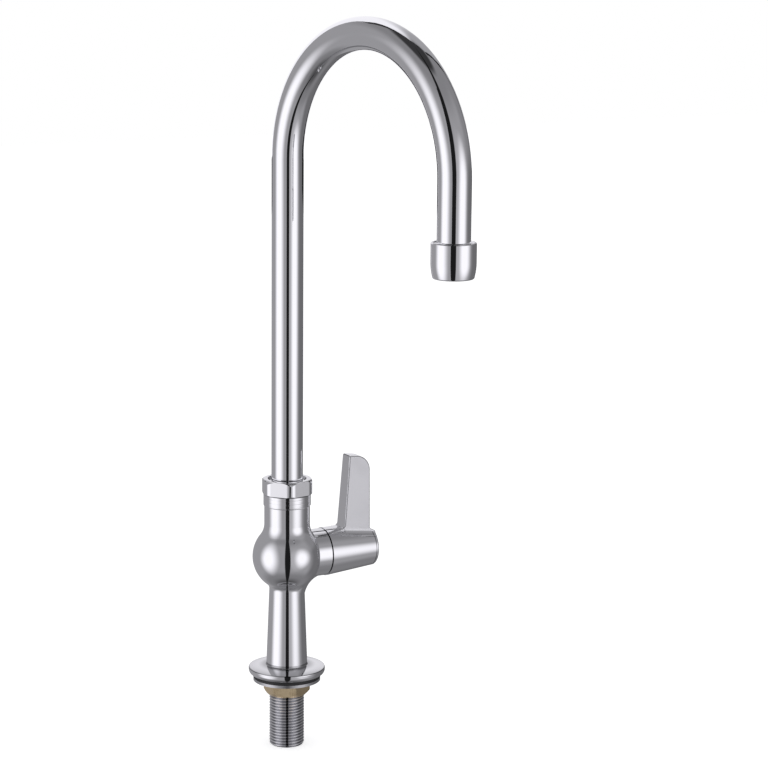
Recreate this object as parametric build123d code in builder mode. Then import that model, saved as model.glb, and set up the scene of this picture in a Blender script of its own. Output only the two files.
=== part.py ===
from build123d import *
import os
from math import asin, atan2, cos, degrees, radians, sin, sqrt, tan

os.makedirs("parts", exist_ok=True)

# Single-hole kitchen faucet with a swivelling gooseneck and a quarter-turn lever.
# Millimetres. +Z is up, z = 0 is the top of the deck, the shank runs down the Z axis,
# the valve points along +X and the spout reaches towards -Y.

# Clearances shared by the fits
thread_gap = 0.05
running_gap = 0.08
slip_gap = 0.2
face_gap = 0.4

# Sides of the O-rings' sections, which are round in rubber
ring_sides = 6

# Threaded shank, 1/2 in pipe thread, and what clamps the faucet to the deck
shank_radius = 10.65
thread_half_depth = 0.58
shank_wall = 3.15
shank_drop = 42.7
shank_engagement = 12.0
shank_end_chamfer = 1.0
gasket_radius = 20.5
gasket_thickness = 2.0
clamp_washer_thickness = 1.7
locknut_height = 8.8
locknut_wall = 3.6
locknut_turn = 27.0
locknut_edge_drop = 2.6

# Deck flange
flange_foot_radius = 21.6
flange_rim_radius = 23.6
flange_rim_height = 4.1
flange_rim_round = 0.8
flange_dome_height = 7.0
flange_dome_radius = 10.5
flange_neck_radius = 0.8

# Cast body: tapered column, ball, neck and the machined band under the spout nut
column_base_wall = 1.85
column_top_radius = 10.7
ball_radius = 21.0
ball_center_z = 76.1
column_crease_fillet = 4.0
neck_wall = 1.55
neck_blend_radius = 12.0
band_step = 0.5
band_height = 7.0
band_chamfer = 0.5
body_top_z = 115.4

# Side boss that holds the valve
boss_wall = 2.75
boss_reach = 24.2
boss_edge_chamfer = 0.3
web_blend_radius = 12.0
web_radius = 10.6

# Waterways inside the body
column_bore_radius = 6.5
column_bore_top = 46.0
riser_port_radius = 4.0
riser_port_start = (1.0, 44.0)
riser_port_end = (-12.6, 74.0)
inlet_pocket_radius = 5.5
inlet_pocket_depth = 11.5
outlet_port_radius = 5.0
outlet_port_x = 2.0

# Valve cartridge, stations counted outwards from its seat
seat_x = -4.5
chamber_gap = 0.3
bonnet_thread_step = 0.8
bonnet_thread_start = 14.0
cartridge_seal_thickness = 2.5
cartridge_seal_bore = 4.6
disc_radius = 7.5
disc_thickness = 3.0
disc_port_inner = 1.6
disc_port_outer = 5.6
disc_port_angle = 70.0
cage_gap = 0.15
cage_wall = 1.65
driver_length = 5.0
driver_tongue_width = 3.0
driver_tongue_depth = 1.2
driver_bar_width = 6.0
window_width = 9.0
stem_washer_thickness = 0.8
stem_radius = 4.6
stem_ring_groove_width = 1.6
stem_ring_groove_depth = 1.35
stem_ring_section = 0.72
stem_ring_offsets = (4.5, 9.0)
bonnet_flange_lap = 0.3
bonnet_flange_thickness = 1.2
bonnet_hex_height = 4.5
bonnet_neck_wall = 1.82
bonnet_neck_length = 2.3
bonnet_ring_section = 0.52
bonnet_ring_seat_width = 1.3
bonnet_ring_seat_depth = 1.1
clip_thickness = 0.8
clip_width = 1.6
clip_groove_depth = 0.6
clip_gap_width = 4.0
spline_step = 0.4
spline_root_depth = 0.4
spline_count = 20
spline_length = 10.5

# Lever handle
lever_gap = 0.4
hub_overlap = 0.35
hub_taper = 3.0
hub_length = 33.2
hub_end_round = 1.0
blade_root_thickness = 11.2
blade_tip_thickness = 9.6
blade_root_x = 36.8
blade_tip_x = 40.4
blade_outer_x = 54.6
blade_reach = 59.2
blade_top_drop = 1.5
blade_tip_round = 9.5
blade_corner_round = 1.0
blade_root_fillet = 2.2
blade_edge_round = 1.0
flute_radius = 5.0
flute_lift = 1.8
flute_drop_angle = 7.2
foot_half_width = 8.4
foot_sink = 6.0
end_flute_radius = 2.0
blade_root_level = 14.3
tongue_base_half_width = 8.2
tongue_end_x = 34.0
skirt_gap = 0.5
handle_screw_radius = 2.0
handle_screw_head_radius = 4.0
handle_screw_head_height = 2.6
handle_screw_length = 11.0
handle_web_thickness = 3.0
cap_radius = 8.0
cap_rim_depth = 2.4
cap_dome = 0.6
cap_plug_radius = 5.4
cap_plug_length = 4.0

# Gooseneck
tube_radius = 9.525
tube_wall = 1.0
arch_radius = 76.2
arch_center_z = 319.5
spout_turn = 10.0
outlet_z = 265.3

# Swivel socket in the top of the body
socket_floor_z = 93.0
socket_end_gap = 0.1
sleeve_wall = 2.045
sleeve_length = 11.0
sleeve_stop_height = 2.6
sleeve_stop_lip = 0.525
spout_ring_groove_width = 1.7
spout_ring_groove_depth = 1.3
spout_ring_section = 0.64
spout_ring_offsets = (4.2, 8.2)
thrust_washer_thickness = 0.8
nut_thread_step = 0.6
nut_hex_overhang = 2.35
nut_corner_round = 5.5
nut_hex_height = 9.3
nut_top_round = 2.2
nut_edge_chamfer = 0.8
nut_lip_chamfer = 0.4
nut_turn = 12.5
nut_bore_gap = 0.2
nut_opening_gap = 0.3
nut_opening_depth = 6.0
collar_wall = 1.525
collar_height = 4.4
collar_round = 1.2

# Aerator
aerator_wall = 1.75
aerator_height = 20.2
aerator_straight = 11.0
aerator_nose_taper = 1.3
aerator_edge_round = 1.0
aerator_top_chamfer = 0.4
aerator_lip_height = 1.1
aerator_lip_width = 1.4
aerator_bore_step = 0.4
ferrule_wall = 1.425
ferrule_length = 10.2
ferrule_stop_height = 1.5
ferrule_stop_lip = 0.225
ferrule_recess = 0.5
aerator_gasket_thickness = 1.5
aerator_gasket_width = 2.8
insert_rim = 1.4
insert_floor = 1.6
insert_hole_radius = 0.9
insert_hole_rings = ((2.6, 4), (6.0, 8))
screen_thickness = 0.7
screen_hole_radius = 0.95
screen_hole_pitch = 2.4
screen_hole_rows = 9
screen_field_margin = 0.8

# Radii worked out from the sizes above
shank_pitch_radius = shank_radius - thread_half_depth
shank_bore_radius = shank_radius - shank_wall
locknut_corner_radius = shank_radius + locknut_wall
column_base_radius = shank_radius + column_base_wall
sleeve_radius = tube_radius + thread_gap + sleeve_wall
sleeve_stop_bore = tube_radius - tube_wall - sleeve_stop_lip
socket_radius = sleeve_radius + running_gap
nut_thread_radius = socket_radius + nut_thread_step
neck_radius = nut_thread_radius + neck_wall
band_radius = neck_radius + band_step
nut_hex_radius = band_radius + nut_hex_overhang
collar_radius = tube_radius + thread_gap + collar_wall
nut_opening_radius = collar_radius + nut_opening_gap
cage_radius = disc_radius + cage_gap
barrel_radius = cage_radius + cage_wall
chamber_radius = barrel_radius + chamber_gap
bonnet_thread_radius = chamber_radius + bonnet_thread_step
bonnet_ring_seat_radius = bonnet_thread_radius + bonnet_ring_seat_width
bonnet_flange_radius = bonnet_ring_seat_radius + bonnet_flange_lap
bonnet_neck_radius = stem_radius + running_gap + bonnet_neck_wall
clip_radius = stem_radius + clip_width
spline_radius = stem_radius - spline_step
boss_radius = bonnet_ring_seat_radius + boss_wall
hub_base_radius = boss_radius + hub_overlap
hub_end_radius = hub_base_radius - hub_taper
skirt_radius = bonnet_flange_radius + skirt_gap
ferrule_radius = tube_radius + thread_gap + ferrule_wall
ferrule_stop_bore = tube_radius - tube_wall - ferrule_stop_lip
aerator_radius = ferrule_radius + thread_gap + aerator_wall
aerator_mouth_radius = aerator_radius - aerator_nose_taper
aerator_bore_radius = ferrule_radius - aerator_bore_step
aerator_lip_radius = aerator_bore_radius - aerator_lip_width
aerator_inner_radius = aerator_bore_radius - slip_gap
screen_field_radius = aerator_lip_radius - screen_field_margin

# Levels worked out from the sizes above
flange_base_z = gasket_thickness
column_base_z = flange_base_z + flange_dome_height + flange_neck_radius
shank_top_z = column_base_z + shank_engagement
locknut_top_z = -clamp_washer_thickness
locknut_base_z = locknut_top_z - locknut_height
band_base_z = body_top_z - band_height
sleeve_base_z = socket_floor_z + face_gap
sleeve_top_z = sleeve_base_z + sleeve_length
socket_top_z = sleeve_top_z + thrust_washer_thickness + socket_end_gap
blend_center_x = neck_radius + neck_blend_radius
blend_rise = sqrt((ball_radius + neck_blend_radius) ** 2 - blend_center_x ** 2)
blend_angle = degrees(atan2(blend_rise, blend_center_x))
crease_rise = sqrt(ball_radius ** 2 - column_top_radius ** 2)
crease_z = ball_center_z - crease_rise
crease_angle = -degrees(asin(crease_rise / ball_radius))

# Valve stations along X
seal_end_x = seat_x + cartridge_seal_thickness
fixed_end_x = seal_end_x + disc_thickness
moving_end_x = fixed_end_x + disc_thickness
driver_end_x = moving_end_x + driver_length
cage_end_x = driver_end_x + stem_washer_thickness
bonnet_ring_radius = (bonnet_thread_radius + bonnet_ring_seat_radius) / 2
hex_end_x = boss_reach + bonnet_hex_height
bonnet_end_x = hex_end_x + bonnet_neck_length
clip_start_x = bonnet_end_x + running_gap
clip_end_x = clip_start_x + clip_thickness
spline_start_x = clip_end_x + face_gap
stem_end_x = spline_start_x + spline_length
hub_start_x = boss_reach + lever_gap
hub_end_x = hub_start_x + hub_length
screw_seat_x = stem_end_x + slip_gap + handle_web_thickness
cap_seat_x = hub_end_x - cap_rim_depth
cap_dome_radius = (cap_radius ** 2 + cap_dome ** 2) / (2 * cap_dome)
cap_dome_angle = degrees(asin(cap_radius / cap_dome_radius))
cap_dome_x = hub_end_x + cap_dome - cap_dome_radius
valve_axis = Axis((0, 0, ball_center_z), (1, 0, 0))
flute_direction = (cos(radians(flute_drop_angle)), 0, -sin(radians(flute_drop_angle)))

# Spout levels
tube_base_z = sleeve_base_z + sleeve_stop_height
nut_top_z = body_top_z + nut_hex_height
nut_reach = nut_hex_radius + nut_corner_round * (1 - 1 / cos(radians(30)))
collar_base_z = nut_top_z - nut_opening_depth + face_gap
aerator_top_z = outlet_z + aerator_height
ferrule_base_z = aerator_top_z - ferrule_recess - ferrule_length
tube_end_z = ferrule_base_z + ferrule_stop_height
nose_drop = aerator_height - aerator_straight
nose_radius = (nose_drop ** 2 + aerator_nose_taper ** 2) / (2 * aerator_nose_taper)
insert_base_z = outlet_z + aerator_lip_height + screen_thickness
insert_top_z = ferrule_base_z - aerator_gasket_thickness


def across(x):
    """Plane square to the valve axis at distance x, drawn with Y across and Z up."""
    return Plane(origin=(x, 0, ball_center_z), x_dir=(0, 1, 0), z_dir=(1, 0, 0))


valve_side = Plane(origin=(0, 0, ball_center_z), x_dir=(1, 0, 0), z_dir=(0, -1, 0))

def flute_level(x):
    """Height of the flutes' axes above the valve axis at distance x along it."""
    return hub_base_radius + flute_lift - (x - hub_start_x) * tan(radians(flute_drop_angle))


# Spout plane: local x runs from the riser to the outlet, local y is up
spout_x = sin(radians(spout_turn))
spout_y = -cos(radians(spout_turn))
spout_plane = Plane(origin=(0, 0, 0), x_dir=(spout_x, spout_y, 0), z_dir=(spout_y, -spout_x, 0))
outlet_x = 2 * arch_radius * spout_x
outlet_y = 2 * arch_radius * spout_y
outlet_axis = Axis((outlet_x, outlet_y, 0), (0, 0, 1))
outlet_plane = Plane(origin=(outlet_x, outlet_y, 0), x_dir=(1, 0, 0), z_dir=(0, -1, 0))


def outlet_level(z):
    """Horizontal plane centred on the outlet at height z."""
    return Plane(origin=(outlet_x, outlet_y, z))


# Threaded shank: over its crests where it is free, at its pitch radius where a thread holds it
with BuildPart() as threaded_shank:
    with BuildSketch(Plane.XZ):
        with BuildLine():
            Polyline(
                (shank_bore_radius, -shank_drop),
                (shank_radius - shank_end_chamfer, -shank_drop),
                (shank_radius, shank_end_chamfer - shank_drop),
                (shank_radius, locknut_base_z),
                (shank_pitch_radius, locknut_base_z),
                (shank_pitch_radius, locknut_top_z),
                (shank_radius, locknut_top_z),
                (shank_radius, flange_base_z),
                (shank_pitch_radius, flange_base_z),
                (shank_pitch_radius, shank_top_z),
                (shank_bore_radius, shank_top_z),
                close=True,
            )
        make_face()
    revolve(axis=Axis.Z)
threaded_shank.part.label = "threaded_shank"
export_step(threaded_shank.part, "parts/threaded_shank.step")

# Rubber gasket under the flange
with BuildPart() as deck_gasket:
    with BuildSketch():
        Circle(gasket_radius)
        Circle(shank_radius + slip_gap, mode=Mode.SUBTRACT)
    extrude(amount=gasket_thickness)
deck_gasket.part.label = "deck_gasket"
export_step(deck_gasket.part, "parts/deck_gasket.step")

# Steel washer that spreads the locknut's load
with BuildPart() as clamp_washer:
    with BuildSketch(Plane.XY.offset(locknut_top_z)):
        Circle(gasket_radius)
        Circle(shank_radius + slip_gap, mode=Mode.SUBTRACT)
    extrude(amount=clamp_washer_thickness)
clamp_washer.part.label = "clamp_washer"
export_step(clamp_washer.part, "parts/clamp_washer.step")

# Brass locknut with a strongly chamfered underside
with BuildPart() as locknut:
    with BuildSketch(Plane.XY.offset(locknut_base_z)):
        RegularPolygon(locknut_corner_radius, 6, rotation=locknut_turn)
    extrude(amount=locknut_height)
    with BuildSketch(Plane.XZ):
        with BuildLine():
            Polyline(
                (0, locknut_top_z),
                (locknut_corner_radius, locknut_top_z),
                (locknut_corner_radius, locknut_base_z + locknut_edge_drop),
                (locknut_corner_radius - locknut_edge_drop, locknut_base_z),
                (0, locknut_base_z),
                close=True,
            )
        make_face()
    revolve(axis=Axis.Z, mode=Mode.INTERSECT)
    with BuildSketch(Plane.XY.offset(locknut_base_z)):
        Circle(shank_pitch_radius + thread_gap)
    extrude(amount=locknut_height, mode=Mode.SUBTRACT)
locknut.part.label = "locknut"
export_step(locknut.part, "parts/locknut.step")

# Deck flange: bevelled underside, shallow dome and a small fillet up to the column
with BuildPart() as deck_flange:
    with BuildSketch(Plane.XZ):
        with BuildLine():
            foot = Line((shank_pitch_radius + thread_gap, flange_base_z), (flange_foot_radius, flange_base_z))
            bevel = Line(foot @ 1, (flange_rim_radius, flange_base_z + flange_rim_height))
            dome = RadiusArc(
                bevel @ 1,
                (column_base_radius + flange_neck_radius, flange_base_z + flange_dome_height),
                -flange_dome_radius,
            )
            neck = RadiusArc(dome @ 1, (column_base_radius, column_base_z), flange_neck_radius)
            Polyline(neck @ 1, (shank_pitch_radius + thread_gap, column_base_z), foot @ 0)
        make_face()
    revolve(axis=Axis.Z)
    fillet(
        deck_flange.edges().filter_by(GeomType.CIRCLE).sort_by(SortBy.LENGTH)[-1],
        radius=flange_rim_round,
    )
deck_flange.part.label = "deck_flange"
export_step(deck_flange.part, "parts/deck_flange.step")

# Cast body: column, ball and neck turned about Z, with the valve boss and its web
with BuildPart() as faucet_body:
    with BuildSketch(Plane.XZ) as body_profile:
        with BuildLine():
            base = Line((0, column_base_z), (column_base_radius, column_base_z))
            Line(base @ 1, (column_top_radius, crease_z))
            CenterArc(
                (0, ball_center_z), ball_radius, crease_angle, blend_angle - crease_angle
            )
            blend = CenterArc(
                (blend_center_x, ball_center_z + blend_rise),
                neck_blend_radius,
                180 + blend_angle,
                -blend_angle,
            )
            Polyline(
                blend @ 1,
                (neck_radius, band_base_z - band_chamfer),
                (band_radius, band_base_z),
                (band_radius, body_top_z),
                (0, body_top_z),
                base @ 0,
            )
        make_face()
        fillet(
            body_profile.vertices().sort_by_distance((column_top_radius, crease_z))[0],
            column_crease_fillet,
        )
    revolve(axis=Axis.Z)
    # Web under the boss: a quarter bend from the column to the boss
    web_center_x = column_top_radius + slip_gap + web_blend_radius
    web_center_z = ball_center_z - boss_radius - web_blend_radius
    with BuildSketch(Plane.XY.offset(web_center_z)):
        Circle(web_radius)
    revolve(axis=Axis((web_center_x, 0, web_center_z), (0, 1, 0)), revolution_arc=90)
    with BuildSketch(across(0)):
        Circle(boss_radius)
    extrude(amount=boss_reach)
    chamfer(
        faucet_body.edges().filter_by(GeomType.CIRCLE).sort_by(Axis.X)[-1],
        length=boss_edge_chamfer,
    )
    # Bore for the shank and the column waterway
    with BuildSketch(Plane.XY.offset(column_base_z)):
        Circle(shank_pitch_radius + thread_gap)
    extrude(amount=shank_engagement + face_gap, mode=Mode.SUBTRACT)
    with BuildSketch(Plane.XY.offset(column_base_z)):
        Circle(column_bore_radius)
    extrude(amount=column_bore_top - column_base_z, mode=Mode.SUBTRACT)
    # Slanted port from the column to the pocket behind the valve
    port_run = riser_port_end[0] - riser_port_start[0]
    port_rise = riser_port_end[1] - riser_port_start[1]
    with BuildSketch(
        Plane(origin=(riser_port_start[0], 0, riser_port_start[1]), z_dir=(port_run, 0, port_rise))
    ):
        Circle(riser_port_radius)
    extrude(amount=sqrt(port_run ** 2 + port_rise ** 2), mode=Mode.SUBTRACT)
    with BuildSketch(across(seat_x)):
        Circle(inlet_pocket_radius)
    extrude(amount=-inlet_pocket_depth, mode=Mode.SUBTRACT)
    # Valve chamber with its threaded mouth, and the port up to the swivel socket
    with BuildSketch(across(seat_x)):
        Circle(chamber_radius)
    extrude(amount=boss_reach - seat_x, mode=Mode.SUBTRACT)
    with BuildSketch(across(bonnet_thread_start - slip_gap)):
        Circle(bonnet_thread_radius + thread_gap)
    extrude(amount=boss_reach - bonnet_thread_start + slip_gap, mode=Mode.SUBTRACT)
    with BuildSketch(across(boss_reach)):
        Circle(bonnet_ring_seat_radius)
    extrude(amount=-bonnet_ring_seat_depth, mode=Mode.SUBTRACT)
    with BuildSketch(Plane(origin=(outlet_port_x, 0, ball_center_z))):
        Circle(outlet_port_radius)
    extrude(amount=socket_floor_z - ball_center_z, mode=Mode.SUBTRACT)
    with BuildSketch(Plane.XY.offset(socket_floor_z)):
        Circle(socket_radius)
    extrude(amount=socket_top_z - socket_floor_z, mode=Mode.SUBTRACT)
    with BuildSketch(Plane.XY.offset(socket_top_z)):
        Circle(nut_thread_radius + thread_gap)
    extrude(amount=body_top_z - socket_top_z, mode=Mode.SUBTRACT)
faucet_body.part.label = "faucet_body"
export_step(faucet_body.part, "parts/faucet_body.step")

# Rubber ring that the fixed disc presses on its seat
with BuildPart() as cartridge_seal:
    with BuildSketch(across(seat_x)):
        Circle(disc_radius)
        Circle(cartridge_seal_bore, mode=Mode.SUBTRACT)
    extrude(amount=cartridge_seal_thickness)
cartridge_seal.part.label = "cartridge_seal"
export_step(cartridge_seal.part, "parts/cartridge_seal.step")


def port_sector(angle):
    """Fan-shaped port cut about the sketch origin, opening towards the given angle."""
    first = angle - disc_port_angle / 2
    with BuildLine() as sector:
        outer = CenterArc((0, 0), disc_port_outer, first, disc_port_angle)
        inner = CenterArc((0, 0), disc_port_inner, first + disc_port_angle, -disc_port_angle)
        Line(outer @ 1, inner @ 0)
        Line(inner @ 1, outer @ 0)
    make_face(sector.edges(), mode=Mode.SUBTRACT)


# Ceramic discs: the fixed one is ported left and right, the moving one a quarter turn away
with BuildPart() as fixed_disc:
    with BuildSketch(across(seal_end_x)):
        Circle(disc_radius)
        port_sector(0)
        port_sector(180)
    extrude(amount=disc_thickness)
fixed_disc.part.label = "fixed_disc"
export_step(fixed_disc.part, "parts/fixed_disc.step")

with BuildPart() as moving_disc:
    with BuildSketch(across(fixed_end_x)):
        Circle(disc_radius)
        port_sector(90)
        port_sector(270)
    extrude(amount=disc_thickness)
    with BuildSketch(across(moving_end_x)):
        Rectangle(2 * disc_radius, driver_tongue_width)
    extrude(amount=-driver_tongue_depth, mode=Mode.SUBTRACT)
moving_disc.part.label = "moving_disc"
export_step(moving_disc.part, "parts/moving_disc.step")

# Brass cartridge body: disc cage with side windows, threaded collar, hexagon and neck
with BuildPart() as cartridge_body:
    with BuildSketch(valve_side):
        with BuildLine():
            Polyline(
                (seat_x + slip_gap, cage_radius),
                (seat_x + slip_gap, barrel_radius),
                (bonnet_thread_start, barrel_radius),
                (bonnet_thread_start, bonnet_thread_radius),
                (boss_reach, bonnet_thread_radius),
                (boss_reach, bonnet_flange_radius),
                (hex_end_x, bonnet_flange_radius),
                (hex_end_x, bonnet_neck_radius),
                (bonnet_end_x, bonnet_neck_radius),
                (bonnet_end_x, stem_radius + running_gap),
                (cage_end_x, stem_radius + running_gap),
                (cage_end_x, cage_radius),
                close=True,
            )
        make_face()
    revolve(axis=valve_axis)
    with BuildSketch(across(hex_end_x)):
        Circle(bonnet_flange_radius + slip_gap)
        RegularPolygon(bonnet_flange_radius, 6, mode=Mode.SUBTRACT)
    extrude(amount=bonnet_flange_thickness - bonnet_hex_height, mode=Mode.SUBTRACT)
    with BuildSketch(Plane(origin=(moving_end_x + driver_length / 2, 0, ball_center_z - barrel_radius))):
        Rectangle(driver_length, window_width)
    extrude(amount=2 * barrel_radius, mode=Mode.SUBTRACT)
cartridge_body.part.label = "cartridge_body"
export_step(cartridge_body.part, "parts/cartridge_body.step")

# O-ring under the bonnet flange
with BuildPart() as cartridge_o_ring:
    with BuildSketch(valve_side):
        with Locations((boss_reach - bonnet_ring_seat_depth / 2, bonnet_ring_radius)):
            RegularPolygon(bonnet_ring_section, ring_sides)
    revolve(axis=valve_axis)
cartridge_o_ring.part.label = "cartridge_o_ring"
export_step(cartridge_o_ring.part, "parts/cartridge_o_ring.step")


def spline_outline(gap):
    """Toothed outline shared by the stem and its socket, grown by a gap."""
    points = []
    for tooth in range(2 * spline_count):
        radius = spline_radius + gap - (tooth % 2) * spline_root_depth
        angle = radians(180 * tooth / spline_count)
        points.append((radius * cos(angle), radius * sin(angle)))
    with BuildLine() as teeth:
        Polyline(*points, close=True)
    make_face(teeth.edges())


# Valve stem: driver bar, shaft with ring grooves, clip groove and splined end
with BuildPart() as valve_stem:
    with BuildSketch(across(moving_end_x)):
        Circle(disc_radius - slip_gap)
        Rectangle(2 * disc_radius, driver_bar_width, mode=Mode.INTERSECT)
    extrude(amount=driver_length)
    with BuildSketch(across(moving_end_x)):
        Circle(disc_radius - slip_gap)
        Rectangle(2 * disc_radius, driver_tongue_width - slip_gap, mode=Mode.INTERSECT)
    extrude(amount=slip_gap - driver_tongue_depth)
    with BuildSketch(across(driver_end_x)):
        Circle(stem_radius)
    extrude(amount=spline_start_x - driver_end_x)
    with BuildSketch(across(spline_start_x)):
        spline_outline(0)
    extrude(amount=spline_length)
    with BuildSketch(valve_side):
        for offset in stem_ring_offsets:
            with Locations((cage_end_x + offset, stem_radius - stem_ring_groove_depth / 2)):
                Rectangle(stem_ring_groove_width, stem_ring_groove_depth)
        with Locations(((clip_start_x + clip_end_x) / 2, stem_radius - clip_groove_depth / 2)):
            Rectangle(clip_thickness + running_gap, clip_groove_depth)
    revolve(axis=valve_axis, mode=Mode.SUBTRACT)
    with BuildSketch(across(stem_end_x)):
        Circle(handle_screw_radius + thread_gap)
    extrude(amount=-handle_screw_length, mode=Mode.SUBTRACT)
valve_stem.part.label = "valve_stem"
export_step(valve_stem.part, "parts/valve_stem.step")

# Two O-rings in the stem's grooves
with BuildPart() as stem_o_rings:
    with BuildSketch(valve_side):
        for offset in stem_ring_offsets:
            with Locations((cage_end_x + offset, stem_radius - stem_ring_groove_depth / 2)):
                RegularPolygon(stem_ring_section, ring_sides)
    revolve(axis=valve_axis)
stem_o_rings.part.label = "stem_o_rings"
export_step(stem_o_rings.part, "parts/stem_o_rings.step")

# Low-friction washer between the driver bar and the cartridge's shoulder
with BuildPart() as stem_washer:
    with BuildSketch(across(driver_end_x)):
        Circle(disc_radius)
        Circle(stem_radius + slip_gap, mode=Mode.SUBTRACT)
    extrude(amount=stem_washer_thickness)
stem_washer.part.label = "stem_washer"
export_step(stem_washer.part, "parts/stem_washer.step")

# Open retaining clip that holds the stem in the cartridge
with BuildPart() as stem_clip:
    with BuildSketch(across(clip_start_x)):
        Circle(clip_radius)
        Circle(stem_radius - clip_groove_depth + thread_gap, mode=Mode.SUBTRACT)
        with Locations((0, -clip_radius)):
            Rectangle(clip_gap_width, 2 * clip_radius, mode=Mode.SUBTRACT)
    extrude(amount=clip_thickness)
stem_clip.part.label = "stem_clip"
export_step(stem_clip.part, "parts/stem_clip.step")

# Tongue of the lever: runs from the hub's rim to the blade and narrows on the way
with BuildPart() as lever_tongue:
    with BuildSketch(Plane.XY.offset(ball_center_z + foot_sink)):
        with BuildLine():
            Polyline(
                (hub_start_x, tongue_base_half_width),
                (tongue_end_x, blade_root_thickness / 2),
                (blade_root_x + blade_root_fillet, blade_root_thickness / 2),
                (blade_root_x + blade_root_fillet, -blade_root_thickness / 2),
                (tongue_end_x, -blade_root_thickness / 2),
                (hub_start_x, -tongue_base_half_width),
                close=True,
            )
        make_face()
    extrude(amount=hub_base_radius)
    with BuildSketch(across(hub_start_x)):
        Circle(hub_base_radius)
    extrude(amount=hub_length, mode=Mode.INTERSECT)

# Blade of the lever: plate with one large rounded corner, thinner towards its tip
with BuildPart() as lever_blade:
    with BuildSketch(valve_side) as blade_outline:
        with BuildLine():
            Polyline(
                (blade_root_x - 2 * blade_root_fillet, foot_sink),
                (blade_root_x - 2 * blade_root_fillet, blade_root_level),
                (blade_root_x, blade_root_level),
                (blade_tip_x, blade_reach),
                (blade_outer_x, blade_reach - blade_top_drop),
                (blade_outer_x, foot_sink),
                close=True,
            )
        make_face()
        fillet(
            blade_outline.vertices().sort_by_distance((blade_outer_x, blade_reach))[0],
            blade_tip_round,
        )
        fillet(
            blade_outline.vertices().sort_by_distance((blade_tip_x, blade_reach))[0],
            blade_corner_round,
        )
        fillet(
            blade_outline.vertices().sort_by_distance((blade_root_x, blade_root_level))[0],
            blade_root_fillet,
        )
    extrude(amount=blade_root_thickness / 2, both=True)
    with BuildSketch(across(0)):
        with BuildLine():
            Polyline(
                (-blade_root_thickness / 2, foot_sink),
                (-blade_tip_thickness / 2, blade_reach),
                (blade_tip_thickness / 2, blade_reach),
                (blade_root_thickness / 2, foot_sink),
                close=True,
            )
        make_face()
    extrude(amount=blade_outer_x, mode=Mode.INTERSECT)
    blade_sides = lever_blade.faces().sort_by(Axis.Y)
    fillet(blade_sides[0].edges() + blade_sides[-1].edges(), radius=blade_edge_round)

# Lever handle: conical hub with a fluted foot under the blade, hollow for the bonnet and stem
with BuildPart() as lever_handle:
    with BuildSketch(valve_side):
        with BuildLine():
            Polyline(
                (hub_start_x, 0),
                (hub_start_x, hub_base_radius),
                (hub_end_x, hub_end_radius),
                (hub_end_x, 0),
                close=True,
            )
        make_face()
    revolve(axis=valve_axis)
    fillet(
        lever_handle.edges().filter_by(GeomType.CIRCLE).sort_by(Axis.X)[-1],
        radius=hub_end_round,
    )
    # Foot under the blade, its top parallel to the flutes that flank it
    with BuildSketch(valve_side):
        with BuildLine():
            Polyline(
                (blade_root_x, foot_sink),
                (blade_root_x, flute_level(blade_root_x)),
                (hub_end_x, flute_level(hub_end_x)),
                (hub_end_x, foot_sink),
                close=True,
            )
        make_face()
    extrude(amount=foot_half_width, both=True)
    with BuildSketch(Plane.XZ):
        with Locations((blade_outer_x + end_flute_radius, ball_center_z + flute_level(hub_end_x))):
            Circle(end_flute_radius)
    extrude(amount=hub_base_radius, both=True, mode=Mode.SUBTRACT)
    for side in (-1, 1):
        flute_start = (
            hub_start_x,
            side * (blade_root_thickness / 2 + flute_radius),
            ball_center_z + flute_level(hub_start_x),
        )
        with BuildSketch(Plane(origin=flute_start, z_dir=flute_direction)):
            Circle(flute_radius)
        extrude(amount=hub_length + end_flute_radius, mode=Mode.SUBTRACT)
    add(lever_tongue.part)
    add(lever_blade.part)
    # Skirt over the bonnet, recess for the clip, splined socket and screw passage
    with BuildSketch(valve_side):
        with BuildLine():
            Polyline(
                (hub_start_x, 0),
                (hub_start_x, skirt_radius),
                (hex_end_x + face_gap, skirt_radius),
                (hex_end_x + face_gap, bonnet_neck_radius + face_gap),
                (spline_start_x, bonnet_neck_radius + face_gap),
                (spline_start_x, 0),
                close=True,
            )
        make_face()
    revolve(axis=valve_axis, mode=Mode.SUBTRACT)
    with BuildSketch(across(spline_start_x)):
        spline_outline(thread_gap)
    extrude(amount=spline_length + slip_gap, mode=Mode.SUBTRACT)
    with BuildSketch(across(spline_start_x)):
        Circle(handle_screw_radius + slip_gap)
    extrude(amount=screw_seat_x - spline_start_x, mode=Mode.SUBTRACT)
    with BuildSketch(across(screw_seat_x)):
        Circle(cap_plug_radius + thread_gap)
    extrude(amount=cap_seat_x - screw_seat_x, mode=Mode.SUBTRACT)
    with BuildSketch(across(cap_seat_x)):
        Circle(cap_radius + thread_gap)
    extrude(amount=cap_rim_depth, mode=Mode.SUBTRACT)
lever_handle.part.label = "lever_handle"
export_step(lever_handle.part, "parts/lever_handle.step")

# Screw that draws the handle onto the splines
with BuildPart() as handle_screw:
    with BuildSketch(across(screw_seat_x)):
        Circle(handle_screw_radius)
    extrude(amount=-handle_screw_length)
    with BuildSketch(across(screw_seat_x)):
        Circle(handle_screw_head_radius)
    extrude(amount=handle_screw_head_height)
handle_screw.part.label = "handle_screw"
export_step(handle_screw.part, "parts/handle_screw.step")

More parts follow.
